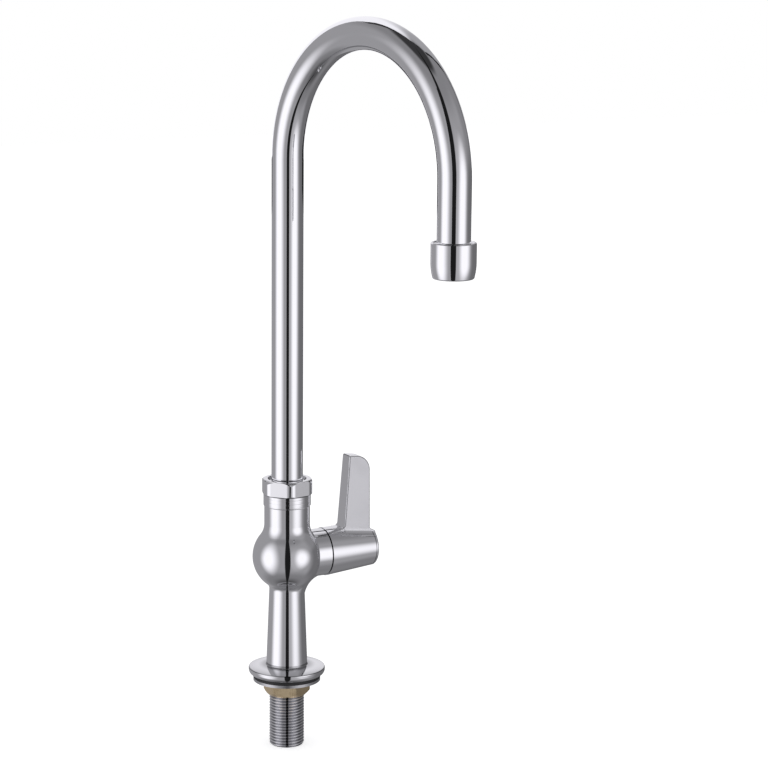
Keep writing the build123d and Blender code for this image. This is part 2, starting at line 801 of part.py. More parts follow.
# Plain cap that closes the end of the hub
with BuildPart() as end_cap:
    with BuildSketch(valve_side):
        with BuildLine():
            dome = CenterArc((cap_dome_x, 0), cap_dome_radius, 0, cap_dome_angle)
            Polyline(
                dome @ 1,
                (cap_seat_x, cap_radius),
                (cap_seat_x, cap_plug_radius),
                (cap_seat_x - cap_plug_length, cap_plug_radius),
                (cap_seat_x - cap_plug_length, 0),
                dome @ 0,
            )
        make_face()
    revolve(axis=valve_axis)
end_cap.part.label = "end_cap"
export_step(end_cap.part, "parts/end_cap.step")

# Gooseneck tube: straight riser, half-circle arch and short leg to the outlet
with BuildPart() as spout_tube:
    with BuildLine(spout_plane):
        Line((0, tube_base_z), (0, arch_center_z))
        arch = CenterArc((arch_radius, arch_center_z), arch_radius, 180, -180)
        Line(arch @ 1, (2 * arch_radius, tube_end_z))
    with BuildSketch(Plane.XY.offset(tube_base_z)):
        Circle(tube_radius)
        Circle(tube_radius - tube_wall, mode=Mode.SUBTRACT)
    sweep()
spout_tube.part.label = "spout_tube"
export_step(spout_tube.part, "parts/spout_tube.step")

# Brass sleeve brazed to the tube's foot, grooved for two O-rings
with BuildPart() as spout_sleeve:
    with BuildSketch(Plane.XZ):
        with BuildLine():
            Polyline(
                (sleeve_stop_bore, sleeve_base_z),
                (sleeve_radius, sleeve_base_z),
                (sleeve_radius, sleeve_top_z),
                (tube_radius + thread_gap, sleeve_top_z),
                (tube_radius + thread_gap, tube_base_z),
                (sleeve_stop_bore, tube_base_z),
                close=True,
            )
        make_face()
        for offset in spout_ring_offsets:
            with Locations((sleeve_radius - spout_ring_groove_depth / 2, sleeve_base_z + offset)):
                Rectangle(spout_ring_groove_depth, spout_ring_groove_width, mode=Mode.SUBTRACT)
    revolve(axis=Axis.Z)
spout_sleeve.part.label = "spout_sleeve"
export_step(spout_sleeve.part, "parts/spout_sleeve.step")

# Two O-rings that seal the swivel
with BuildPart() as spout_o_rings:
    with BuildSketch(Plane.XZ):
        for offset in spout_ring_offsets:
            with Locations((sleeve_radius - spout_ring_groove_depth / 2, sleeve_base_z + offset)):
                RegularPolygon(spout_ring_section, ring_sides)
    revolve(axis=Axis.Z)
spout_o_rings.part.label = "spout_o_rings"
export_step(spout_o_rings.part, "parts/spout_o_rings.step")

# Thrust washer that the sleeve turns against
with BuildPart() as thrust_washer:
    with BuildSketch(Plane.XY.offset(sleeve_top_z)):
        Circle(sleeve_radius)
        Circle(tube_radius + slip_gap, mode=Mode.SUBTRACT)
    extrude(amount=thrust_washer_thickness)
thrust_washer.part.label = "thrust_washer"
export_step(thrust_washer.part, "parts/thrust_washer.step")

# Hexagonal spout nut, threaded into the neck, with an open cup at its top
with BuildPart() as spout_nut:
    with BuildSketch(Plane.XY.offset(body_top_z)) as nut_outline:
        RegularPolygon(nut_hex_radius, 6, rotation=nut_turn)
        fillet(nut_outline.vertices(), nut_corner_round)
    extrude(amount=nut_hex_height)
    with BuildSketch(Plane.XZ) as nut_turned:
        with BuildLine():
            Polyline(
                (0, body_top_z),
                (nut_reach - nut_edge_chamfer, body_top_z),
                (nut_reach, body_top_z + nut_edge_chamfer),
                (nut_reach, nut_top_z),
                (0, nut_top_z),
                close=True,
            )
        make_face()
        fillet(nut_turned.vertices().group_by(Axis.Y)[-1].sort_by(Axis.X)[-1], nut_top_round)
    revolve(axis=Axis.Z, mode=Mode.INTERSECT)
    with BuildSketch(Plane.XY.offset(body_top_z)):
        Circle(nut_thread_radius)
    extrude(amount=socket_top_z - body_top_z)
    with BuildSketch(Plane.XY.offset(socket_top_z)):
        Circle(tube_radius + nut_bore_gap)
    extrude(amount=nut_top_z - socket_top_z, mode=Mode.SUBTRACT)
    with BuildSketch(Plane.XY.offset(nut_top_z)):
        Circle(nut_opening_radius)
    extrude(amount=-nut_opening_depth, mode=Mode.SUBTRACT)
    chamfer(
        spout_nut.faces().sort_by(Axis.Z)[-1].inner_wires()[0].edges(),
        length=nut_lip_chamfer,
    )
spout_nut.part.label = "spout_nut"
export_step(spout_nut.part, "parts/spout_nut.step")

# Rounded collar brazed round the tube, inside the nut's cup
with BuildPart() as spout_collar:
    with BuildSketch(Plane.XY.offset(collar_base_z)):
        Circle(collar_radius)
        Circle(tube_radius + thread_gap, mode=Mode.SUBTRACT)
    extrude(amount=collar_height)
    fillet(
        spout_collar.edges().group_by(Axis.Z)[-1].sort_by(SortBy.RADIUS)[-1],
        radius=collar_round,
    )
spout_collar.part.label = "spout_collar"
export_step(spout_collar.part, "parts/spout_collar.step")

# Threaded ferrule brazed on the outlet end of the tube
with BuildPart() as outlet_ferrule:
    with BuildSketch(outlet_level(ferrule_base_z)):
        Circle(ferrule_radius)
        Circle(ferrule_stop_bore, mode=Mode.SUBTRACT)
    extrude(amount=ferrule_length)
    with BuildSketch(outlet_level(tube_end_z)):
        Circle(tube_radius + thread_gap)
    extrude(amount=ferrule_length, mode=Mode.SUBTRACT)
outlet_ferrule.part.label = "outlet_ferrule"
export_step(outlet_ferrule.part, "parts/outlet_ferrule.step")

# Aerator housing: straight grip, tapering nose with a rounded lip
with BuildPart() as aerator_housing:
    with BuildSketch(outlet_plane):
        with BuildLine():
            Polyline(
                (aerator_lip_radius, outlet_z),
                (aerator_mouth_radius, outlet_z),
            )
            nose = RadiusArc(
                (aerator_mouth_radius, outlet_z),
                (aerator_radius, aerator_top_z - aerator_straight),
                -nose_radius,
            )
            Polyline(
                nose @ 1,
                (aerator_radius, aerator_top_z),
                (ferrule_radius + thread_gap, aerator_top_z),
                (ferrule_radius + thread_gap, ferrule_base_z),
                (aerator_bore_radius, ferrule_base_z),
                (aerator_bore_radius, outlet_z + aerator_lip_height),
                (aerator_lip_radius, outlet_z + aerator_lip_height),
                (aerator_lip_radius, outlet_z),
            )
        make_face()
    revolve(axis=outlet_axis)
    fillet(
        aerator_housing.faces().sort_by(Axis.Z)[0].outer_wire().edges(),
        radius=aerator_edge_round,
    )
    chamfer(
        aerator_housing.faces().sort_by(Axis.Z)[-1].edges(),
        length=aerator_top_chamfer,
    )
aerator_housing.part.label = "aerator_housing"
export_step(aerator_housing.part, "parts/aerator_housing.step")

# Rubber washer between the ferrule and the aerator insert
with BuildPart() as aerator_gasket:
    with BuildSketch(outlet_level(ferrule_base_z - aerator_gasket_thickness)):
        Circle(aerator_inner_radius)
        Circle(aerator_inner_radius - aerator_gasket_width, mode=Mode.SUBTRACT)
    extrude(amount=aerator_gasket_thickness)
aerator_gasket.part.label = "aerator_gasket"
export_step(aerator_gasket.part, "parts/aerator_gasket.step")

# Moulded insert: cup whose floor breaks the water into jets
with BuildPart() as aerator_insert:
    with BuildSketch(outlet_level(insert_base_z)):
        Circle(aerator_inner_radius)
        Circle(aerator_inner_radius - insert_rim, mode=Mode.SUBTRACT)
    extrude(amount=insert_top_z - insert_base_z)
    with BuildSketch(outlet_level(insert_top_z - insert_floor)):
        Circle(aerator_inner_radius - insert_rim)
        for ring_radius, count in insert_hole_rings:
            with PolarLocations(ring_radius, count):
                RegularPolygon(insert_hole_radius, 6, mode=Mode.SUBTRACT)
    extrude(amount=insert_floor)
aerator_insert.part.label = "aerator_insert"
export_step(aerator_insert.part, "parts/aerator_insert.step")

# Honeycomb screen at the mouth, with the cells that lie whole inside its rim
screen_grid = HexLocations(screen_hole_pitch / 2, screen_hole_rows, screen_hole_rows)
screen_cells = [cell for cell in screen_grid if cell.position.length < screen_field_radius]
with BuildPart() as aerator_screen:
    with BuildSketch(outlet_level(outlet_z + aerator_lip_height)):
        Circle(aerator_inner_radius)
        with Locations(*screen_cells):
            RegularPolygon(screen_hole_radius, 6, rotation=30, mode=Mode.SUBTRACT)
    extrude(amount=screen_thickness)
aerator_screen.part.label = "aerator_screen"
export_step(aerator_screen.part, "parts/aerator_screen.step")
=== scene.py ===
from math import atan2, cos, pi, radians, sin

import bmesh
import bpy
from mathutils import Matrix, Vector


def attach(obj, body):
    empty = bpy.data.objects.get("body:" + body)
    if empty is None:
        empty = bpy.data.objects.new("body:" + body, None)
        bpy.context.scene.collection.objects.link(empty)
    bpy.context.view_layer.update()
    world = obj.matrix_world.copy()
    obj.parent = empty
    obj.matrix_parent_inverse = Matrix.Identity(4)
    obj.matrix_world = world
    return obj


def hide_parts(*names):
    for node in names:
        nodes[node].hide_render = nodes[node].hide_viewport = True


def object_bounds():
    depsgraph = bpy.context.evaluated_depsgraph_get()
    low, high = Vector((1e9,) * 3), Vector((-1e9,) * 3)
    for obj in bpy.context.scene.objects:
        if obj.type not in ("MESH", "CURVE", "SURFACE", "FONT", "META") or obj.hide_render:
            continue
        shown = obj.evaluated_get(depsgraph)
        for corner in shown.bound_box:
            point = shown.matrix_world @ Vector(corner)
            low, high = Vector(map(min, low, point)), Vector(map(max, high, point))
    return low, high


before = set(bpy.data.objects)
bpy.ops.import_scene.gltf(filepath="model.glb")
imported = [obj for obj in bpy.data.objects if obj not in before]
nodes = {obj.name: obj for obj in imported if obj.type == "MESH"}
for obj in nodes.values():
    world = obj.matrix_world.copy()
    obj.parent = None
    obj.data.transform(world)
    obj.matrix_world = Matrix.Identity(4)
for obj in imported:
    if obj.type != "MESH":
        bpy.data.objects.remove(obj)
cadBox = [list(corner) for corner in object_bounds()]
mm = 0.001
print("frame loaded:", len(nodes), "CAD nodes")


# Small helpers for node trees and objects

def addNode(tree, kind, **values):
    node = tree.nodes.new(kind)
    for name, value in values.items():
        setattr(node, name, value)
    return node


def feed(tree, socket, value):
    # a socket to join, or a plain value to set
    if isinstance(value, bpy.types.NodeSocket):
        tree.links.new(value, socket)
    else:
        socket.default_value = value


def calc(tree, operation, *inputs, clamp=False):
    # one Math node
    node = addNode(tree, "ShaderNodeMath", operation=operation, use_clamp=clamp)
    for socket, value in zip(node.inputs, inputs):
        feed(tree, socket, value)
    return node.outputs[0]


def smoothStep(tree, value, start, end):
    # 0 at start, 1 at end, whichever of them is the larger
    node = addNode(tree, "ShaderNodeMapRange", interpolation_type="SMOOTHSTEP")
    feed(tree, node.inputs["Value"], value)
    feed(tree, node.inputs["From Min"], start)
    feed(tree, node.inputs["From Max"], end)
    return node.outputs["Result"]


def mixValues(tree, factor, low, high):
    node = addNode(tree, "ShaderNodeMix", data_type="FLOAT")
    feed(tree, node.inputs[0], factor)
    feed(tree, node.inputs[2], low)
    feed(tree, node.inputs[3], high)
    return node.outputs[0]


def mixColours(tree, factor, low, high):
    node = addNode(tree, "ShaderNodeMix", data_type="RGBA")
    feed(tree, node.inputs[0], factor)
    feed(tree, node.inputs[6], low)
    feed(tree, node.inputs[7], high)
    return node.outputs[2]


def splitVector(tree, vector):
    node = addNode(tree, "ShaderNodeSeparateXYZ")
    feed(tree, node.inputs[0], vector)
    return node.outputs


def radiusOf(tree, parts):
    # distance from the Z axis
    squareY = calc(tree, "MULTIPLY", parts["Y"], parts["Y"])
    squares = calc(tree, "MULTIPLY_ADD", parts["X"], parts["X"], squareY)
    return calc(tree, "SQRT", squares)


def lineMask(tree, value, line):
    # 1 on a line drawn at its level, 0 past its soft edges
    away = calc(tree, "ABSOLUTE", calc(tree, "SUBTRACT", value, line["level"]))
    return smoothStep(tree, away, line["half"] + line["soft"], line["half"] - line["soft"])


def noiseAt(tree, coords, scale, detail=2.0, stretch=(1, 1, 1)):
    # noise on object coordinates, scale in features per metre
    mapping = addNode(tree, "ShaderNodeMapping")
    feed(tree, mapping.inputs["Vector"], coords)
    mapping.inputs["Scale"].default_value = stretch
    noise = addNode(tree, "ShaderNodeTexNoise")
    feed(tree, noise.inputs["Vector"], mapping.outputs[0])
    noise.inputs["Scale"].default_value = scale
    noise.inputs["Detail"].default_value = detail
    return noise.outputs["Fac"]


def newMaterial(name):
    # a Principled material with its tree, shader and object coordinates
    material = bpy.data.materials.new(name)
    material.use_nodes = True
    tree = material.node_tree
    shader = tree.nodes["Principled BSDF"]
    coords = addNode(tree, "ShaderNodeTexCoord").outputs["Object"]
    return material, tree, shader, coords


def addBump(tree, shader, height):
    # height in metres
    bump = addNode(tree, "ShaderNodeBump")
    bump.inputs["Strength"].default_value = 1.0
    bump.inputs["Distance"].default_value = 1.0
    feed(tree, bump.inputs["Height"], height)
    feed(tree, shader.inputs["Normal"], bump.outputs[0])


def addObject(name, data):
    thing = bpy.data.objects.new(name, data)
    bpy.context.scene.collection.objects.link(thing)
    return thing


# Finishes

chromeLook = {
    "colour": (0.9, 0.9, 0.915, 1),
    "roughness": 0.035,
    "wipeRoughness": 0.05,       # added where a cloth left a faint haze
    "wipeScale": 42,
    "wipeEdges": (0.45, 0.75),   # noise where the haze starts and where it is full
    "waveHeight": 0.006 * mm,    # polishing waves in the casting
    "waveScale": 60,
}


def chromeBase(name, look, extraHeight=None, extraRoughness=None, shade=None):
    material, tree, shader, coords = newMaterial(name)
    shader.inputs["Base Color"].default_value = look["colour"]
    shader.inputs["Metallic"].default_value = 1.0
    haze = noiseAt(tree, coords, look["wipeScale"], detail=3.0)
    haze = smoothStep(tree, haze, *look["wipeEdges"])
    roughness = calc(tree, "MULTIPLY_ADD", haze, look["wipeRoughness"], look["roughness"])
    if extraRoughness:
        roughness = calc(tree, "ADD", roughness, extraRoughness(tree, coords))
    feed(tree, shader.inputs["Roughness"], roughness)
    height = noiseAt(tree, coords, look["waveScale"], detail=0.0)
    height = calc(tree, "MULTIPLY", height, look["waveHeight"])
    if extraHeight:
        height = calc(tree, "ADD", height, extraHeight(tree, coords))
    addBump(tree, shader, height)
    if shade:
        dark, amount = shade(tree, coords)
        feed(tree, shader.inputs["Base Color"], mixColours(tree, amount, look["colour"], dark))
    return material


tubeLook = {**chromeLook, "waveHeight": 0.0015 * mm, "waveScale": 35, "wipeRoughness": 0.03}

# shallow lines turned into the body's band, from this level up to the spout nut
bandLines = {
    "bottom": 108.4 * mm,
    "pitch": 2.3 * mm,
    "depth": 0.03 * mm,
    "grooveEdges": (0.55, 1.0),   # how much of each wave is cut
}


def turnedLines(tree, coords):
    level = splitVector(tree, coords)["Z"]
    inBand = calc(tree, "GREATER_THAN", level, bandLines["bottom"])
    turns = calc(tree, "DIVIDE", level, bandLines["pitch"])
    wave = calc(tree, "SINE", calc(tree, "MULTIPLY", turns, 2 * pi))
    groove = smoothStep(tree, wave, *bandLines["grooveEdges"])
    depth = calc(tree, "MULTIPLY", groove, -bandLines["depth"])
    return calc(tree, "MULTIPLY", inBand, depth)


# painted shadow line where the spout nut stands on the body
jointShadowLine = {
    "level": 115.4 * mm,
    "half": 0.3 * mm,
    "soft": 0.12 * mm,
    "colour": (0.05, 0.05, 0.055, 1),
}


# painted shadow line in the gap under the spout nut, on the body and the nut alike
def jointShade(tree, coords):
    return jointShadowLine["colour"], lineMask(tree, splitVector(tree, coords)["Z"], jointShadowLine)


# black that the painted shade, the painted reflection line and the brushed faces' darker tone mix towards
shadeAndDullingBlack = (0, 0, 0, 1)

# fine painted dark reflection line round the flange's rim
rimReflectionLine = {
    "level": 6.55 * mm,
    "half": 0.25 * mm,
    "soft": 0.15 * mm,
    "depth": 0.65,
}

# painted shade ring round the column's foot, darkest where the column meets the flange
footShadeRing = {
    "outer": 18.3 * mm,
    "inner": 12.6 * mm,
    "depth": 0.44,
}


# painted reflection line round the rim and painted shade ring round the column's foot
def flangeShade(tree, coords):
    parts = splitVector(tree, coords)
    line = calc(tree, "MULTIPLY", lineMask(tree, parts["Z"], rimReflectionLine), rimReflectionLine["depth"])
    ring = smoothStep(tree, radiusOf(tree, parts), footShadeRing["outer"], footShadeRing["inner"])
    ring = calc(tree, "MULTIPLY", ring, footShadeRing["depth"])
    return shadeAndDullingBlack, calc(tree, "MAXIMUM", ring, line)


# the blade's broad faces above the hub are brushed, its edges and the hub polished
leverSatin = {
    "levels": (84.5 * mm, 86.5 * mm),   # where the brushing starts and where it is full
    "facing": (0.9, 0.995),             # how squarely a face looks along Y to count as broad
    "roughness": 0.42,
    "dulling": 0.1,                     # how much darker the brushed faces are
}

# fine painted shade line round the hub just short of its end
hubShadeLine = {
    "level": 55.9 * mm,
    "half": 0.26 * mm,
    "soft": 0.12 * mm,
    "depth": 0.7,
}


def broadFaces(tree, coords):
    # 1 on the two broad faces of the blade
    onBlade = smoothStep(tree, splitVector(tree, coords)["Z"], *leverSatin["levels"])
    normal = splitVector(tree, addNode(tree, "ShaderNodeTexCoord").outputs["Normal"])
    broad = smoothStep(tree, calc(tree, "ABSOLUTE", normal["Y"]), *leverSatin["facing"])
    return calc(tree, "MULTIPLY", onBlade, broad)


def satinBlade(tree, coords):
    return calc(tree, "MULTIPLY", broadFaces(tree, coords), leverSatin["roughness"])


# darker tone of the brushed faces, and the painted shade line round the hub
def satinShade(tree, coords):
    dulling = calc(tree, "MULTIPLY", broadFaces(tree, coords), leverSatin["dulling"])
    line = lineMask(tree, splitVector(tree, coords)["X"], hubShadeLine)
    line = calc(tree, "MULTIPLY", line, hubShadeLine["depth"])
    return shadeAndDullingBlack, calc(tree, "MAXIMUM", dulling, line)


threadLook = {
    **chromeLook,
    "colour": (0.86, 0.86, 0.88, 1),
    "roughness": 0.07,
    "wipeRoughness": 0.08,
    "rootShadeColour": (0.36, 0.36, 0.38, 1),   # painted shade down in the thread's roots
    "rootRadius": 9.7 * mm,
    "crestRadius": 10.45 * mm,
}


# painted shade in the thread, darkest at the root radius and gone at the crests
def threadShade(tree, coords):
    radius = radiusOf(tree, splitVector(tree, coords))
    amount = smoothStep(tree, radius, threadLook["crestRadius"], threadLook["rootRadius"])
    return threadLook["rootShadeColour"], amount


steelLook = {
    "colour": (0.66, 0.66, 0.68, 1),
    "darkColour": (0.56, 0.56, 0.57, 1),
    "cloudScale": 160,
    "cloudRoughness": 0.16,
    "roughness": 0.24,
    "grainHeight": 0.01 * mm,
    "grainScale": 900,
    "grainStretch": (1, 1, 0.1),
}


def steelMaterial():
    material, tree, shader, coords = newMaterial("rolledSteel")
    shader.inputs["Metallic"].default_value = 1.0
    cloud = noiseAt(tree, coords, steelLook["cloudScale"], detail=4.0)
    colour = mixColours(tree, cloud, steelLook["darkColour"], steelLook["colour"])
    feed(tree, shader.inputs["Base Color"], colour)
    roughness = calc(tree, "MULTIPLY_ADD", cloud, steelLook["cloudRoughness"], steelLook["roughness"])
    feed(tree, shader.inputs["Roughness"], roughness)
    grain = noiseAt(tree, coords, steelLook["grainScale"], stretch=steelLook["grainStretch"])
    addBump(tree, shader, calc(tree, "MULTIPLY", grain, steelLook["grainHeight"]))
    return material


brassLook = {
    "bright": (1.0, 0.81, 0.52, 1),
    "dull": (0.9, 0.69, 0.42, 1),
    "roughness": 0.12,
    "cloudScale": 120,
    "cloudEdges": (0.3, 0.75),   # noise where tarnish starts and where it is full
    "cloudRoughness": 0.12,
    "toolPitch": 0.42 * mm,
    "toolHeight": 0.006 * mm,
}


def brassMaterial():
    # bar brass with turned faces and a faint tarnish in clouds
    material, tree, shader, coords = newMaterial("machinedBrass")
    shader.inputs["Metallic"].default_value = 1.0
    cloud = noiseAt(tree, coords, brassLook["cloudScale"], detail=3.0)
    cloud = smoothStep(tree, cloud, *brassLook["cloudEdges"])
    colour = mixColours(tree, cloud, brassLook["bright"], brassLook["dull"])
    feed(tree, shader.inputs["Base Color"], colour)
    roughness = calc(tree, "MULTIPLY_ADD", cloud, brassLook["cloudRoughness"], brassLook["roughness"])
    feed(tree, shader.inputs["Roughness"], roughness)
    radius = radiusOf(tree, splitVector(tree, coords))
    rings = calc(tree, "SINE", calc(tree, "MULTIPLY", radius, 2 * pi / brassLook["toolPitch"]))
    addBump(tree, shader, calc(tree, "MULTIPLY", rings, brassLook["toolHeight"]))
    return material


rubberLook = {
    "colour": (0.012, 0.012, 0.013, 1),
    "bloomColour": (0.03, 0.03, 0.032, 1),
    "bloomScale": 300,
    "bloomRoughness": 0.2,
    "roughness": 0.42,
    "grainScale": 2600,
    "grainHeight": 0.02 * mm,
}


def rubberMaterial():
    material, tree, shader, coords = newMaterial("mouldedRubber")
    bloom = noiseAt(tree, coords, rubberLook["bloomScale"], detail=4.0)
    colour = mixColours(tree, bloom, rubberLook["colour"], rubberLook["bloomColour"])
    feed(tree, shader.inputs["Base Color"], colour)
    roughness = calc(tree, "MULTIPLY_ADD", bloom, rubberLook["bloomRoughness"], rubberLook["roughness"])
    feed(tree, shader.inputs["Roughness"], roughness)
    grain = noiseAt(tree, coords, rubberLook["grainScale"], detail=3.0)
    addBump(tree, shader, calc(tree, "MULTIPLY", grain, rubberLook["grainHeight"]))
    return material


plasticLook = {
    "flowScale": 240,
    "flowRoughness": 0.14,
    "subsurface": 0.05,
    "subsurfaceRadius": (0.6 * mm, 0.5 * mm, 0.4 * mm),
    "grainScale": 1800,
    "grainHeight": 0.008 * mm,
}
nylonLook = {
    **plasticLook,
    "colour": (0.84, 0.83, 0.78, 1),
    "deepColour": (0.76, 0.75, 0.69, 1),
    "roughness": 0.4,
}
acetalLook = {
    **plasticLook,
    "colour": (0.52, 0.53, 0.55, 1),
    "deepColour": (0.42, 0.43, 0.45, 1),
    "roughness": 0.32,
}


def mouldedPlastic(name, look):
    material, tree, shader, coords = newMaterial(name)
    flow = noiseAt(tree, coords, look["flowScale"], detail=3.0)
    feed(tree, shader.inputs["Base Color"], mixColours(tree, flow, look["deepColour"], look["colour"]))
    roughness = calc(tree, "MULTIPLY_ADD", flow, look["flowRoughness"], look["roughness"])
    feed(tree, shader.inputs["Roughness"], roughness)
    shader.inputs["Subsurface Weight"].default_value = look["subsurface"]
    shader.inputs["Subsurface Radius"].default_value = look["subsurfaceRadius"]
    grain = noiseAt(tree, coords, look["grainScale"])
    addBump(tree, shader, calc(tree, "MULTIPLY", grain, look["grainHeight"]))
    return material


ceramicLook = {
    "colour": (0.86, 0.85, 0.81, 1),
    "speckColour": (0.7, 0.69, 0.65, 1),
    "speckScale": 3200,
    "speckEdges": (0.58, 0.7),
    "speckRoughness": 0.2,
    "roughness": 0.12,
}


def ceramicMaterial():
    # lapped alumina discs: nearly white, with a dense fine speckle
    material, tree, shader, coords = newMaterial("lappedCeramic")
    speck = noiseAt(tree, coords, ceramicLook["speckScale"])
    speck = smoothStep(tree, speck, *ceramicLook["speckEdges"])
    colour = mixColours(tree, speck, ceramicLook["colour"], ceramicLook["speckColour"])
    feed(tree, shader.inputs["Base Color"], colour)
    roughness = calc(tree, "MULTIPLY_ADD", speck, ceramicLook["speckRoughness"], ceramicLook["roughness"])
    feed(tree, shader.inputs["Roughness"], roughness)
    return material


finishes = {
    "castChrome": chromeBase("castChrome", chromeLook),
    "bodyChrome": chromeBase("bodyChrome", chromeLook, extraHeight=turnedLines, shade=jointShade),
    "nutChrome": chromeBase("nutChrome", chromeLook, shade=jointShade),
    "flangeChrome": chromeBase("flangeChrome", chromeLook, shade=flangeShade),
    "leverChrome": chromeBase("leverChrome", chromeLook, extraRoughness=satinBlade, shade=satinShade),
    "tubeChrome": chromeBase("tubeChrome", tubeLook),
    "threadChrome": chromeBase("threadChrome", threadLook, shade=threadShade),
    "rolledSteel": steelMaterial(),
    "machinedBrass": brassMaterial(),
    "mouldedRubber": rubberMaterial(),
    "naturalNylon": mouldedPlastic("naturalNylon", nylonLook),
    "greyAcetal": mouldedPlastic("greyAcetal", acetalLook),
    "lappedCeramic": ceramicMaterial(),
}

nodeFinishes = {
    "flangeChrome": ("deck_flange",),
    "castChrome": ("end_cap", "spout_collar", "outlet_ferrule", "aerator_housing"),
    "nutChrome": ("spout_nut",),
    "bodyChrome": ("faucet_body",),
    "leverChrome": ("lever_handle",),
    "tubeChrome": ("spout_tube",),
    "threadChrome": ("threaded_shank",),
    "rolledSteel": ("clamp_washer", "stem_clip", "handle_screw", "aerator_screen"),
    "machinedBrass": ("locknut", "cartridge_body", "valve_stem", "spout_sleeve"),
    "mouldedRubber": ("deck_gasket", "cartridge_seal", "cartridge_o_ring", "stem_o_rings", "spout_o_rings",
                      "aerator_gasket"),
    "naturalNylon": ("stem_washer", "thrust_washer"),
    "greyAcetal": ("aerator_insert",),
    "lappedCeramic": ("fixed_disc", "moving_disc"),
}
for finish, names in nodeFinishes.items():
    for name in names:
        for slot in nodes[name].material_slots:
            slot.material = finishes[finish]
print("finishes:", len(finishes))


# Geometry Nodes helpers

mergeDistance = 0.004 * mm


def startTree(name, inputs):
    # a geometry tree with a named input for each size
    tree = bpy.data.node_groups.new(name, "GeometryNodeTree")
    tree.interface.new_socket("Geometry", in_out="OUTPUT", socket_type="NodeSocketGeometry")
    for title, kind in inputs.items():
        tree.interface.new_socket(title, in_out="INPUT", socket_type=kind)
    start = addNode(tree, "NodeGroupInput")
    return tree, start.outputs


def endTree(tree, geometry, materialSocket):
    # merged, smooth, realised and given its material
    merge = addNode(tree, "GeometryNodeMergeByDistance")
    feed(tree, merge.inputs["Geometry"], geometry)
    merge.inputs["Distance"].default_value = mergeDistance
    smooth = addNode(tree, "GeometryNodeSetShadeSmooth")
    feed(tree, smooth.inputs[0], merge.outputs[0])
    realise = addNode(tree, "GeometryNodeRealizeInstances")
    feed(tree, realise.inputs[0], smooth.outputs[0])
    paint = addNode(tree, "GeometryNodeSetMaterial")
    feed(tree, paint.inputs["Geometry"], realise.outputs[0])
    feed(tree, paint.inputs["Material"], materialSocket)
    finish = addNode(tree, "NodeGroupOutput")
    feed(tree, finish.inputs[0], paint.outputs[0])


def growPiece(name, tree, values):
    # runs the tree once and keeps its result as a plain mesh
    seed = addObject(name + "Seed", bpy.data.meshes.new(name + "Seed"))
    modifier = seed.modifiers.new("grow", "NODES")
    modifier.node_group = tree
    for item in tree.interface.items_tree:
        if item.in_out == "INPUT" and item.name in values:
            modifier[item.identifier] = values[item.name]
    graph = bpy.context.evaluated_depsgraph_get()
    mesh = bpy.data.meshes.new_from_object(seed.evaluated_get(graph))
    seed.modifiers.remove(modifier)
    bpy.data.objects.remove(seed)
    mesh.name = name
    print(name, "faces", len(mesh.polygons))
    return addObject(name, mesh)


def rowAndTurn(tree, sides, rows):
    # a grid 1 by 1 about its centre, whose columns go round once and whose rows are numbered from 0
    grid = addNode(tree, "GeometryNodeMeshGrid")
    grid.inputs["Size X"].default_value = 1.0
    grid.inputs["Size Y"].default_value = 1.0
    feed(tree, grid.inputs["Vertices X"], calc(tree, "ADD", sides, 1))
    feed(tree, grid.inputs["Vertices Y"], rows)
    place = splitVector(tree, addNode(tree, "GeometryNodeInputPosition").outputs[0])
    turn = calc(tree, "ADD", place["X"], 0.5)
    row = calc(tree, "ADD", place["Y"], 0.5)
    row = calc(tree, "MULTIPLY", row, calc(tree, "SUBTRACT", rows, 1))
    return grid.outputs["Mesh"], turn, calc(tree, "ROUND", row)


def switchValues(tree, test, low, high):
    node = addNode(tree, "GeometryNodeSwitch", input_type="FLOAT")
    feed(tree, node.inputs["Switch"], test)
    feed(tree, node.inputs["False"], low)
    feed(tree, node.inputs["True"], high)
    return node.outputs[0]


def placeRound(tree, mesh, turn, radius, level):
    # moves the grid to cylinder coordinates about the Z axis
    angle = calc(tree, "MULTIPLY", turn, 2 * pi)
    point = addNode(tree, "ShaderNodeCombineXYZ")
    feed(tree, point.inputs["X"], calc(tree, "MULTIPLY", calc(tree, "COSINE", angle), radius))
    feed(tree, point.inputs["Y"], calc(tree, "MULTIPLY", calc(tree, "SINE", angle), radius))
    feed(tree, point.inputs["Z"], level)
    move = addNode(tree, "GeometryNodeSetPosition")
    feed(tree, move.inputs["Geometry"], mesh)
    feed(tree, move.inputs["Position"], point.outputs[0])
    return move.outputs[0]


# Threaded shank: 14 threads to the inch, right-handed, turned in from the chamfered end

shankSizes = {
    "Pitch": 25.4 / 14 * mm,
    "Depth": 1.1 * mm,
    "Crest Radius": 10.65 * mm,
    "Held Radius": 10.07 * mm,
    "Bore Radius": 7.5 * mm,
    "End Chamfer": 1.0 * mm,
    "Bottom": -42.7 * mm,
    "Free Top": -10.5 * mm,
    "Top": 21.8 * mm,
    "Sides": 96,
    "Rows Per Turn": 10,
    "Turns": 18,
}
threadForm = {
    "runOut": 2,         # turns past the two ends, which their rows cut off
    "flankRise": 1.3,    # over 1, so that crest and root come out flat
    "flankStart": -0.15,
}
closingRows = ("shoulder", "heldTop", "boreTop", "boreBottom", "firstAgain")   # rows past the thread


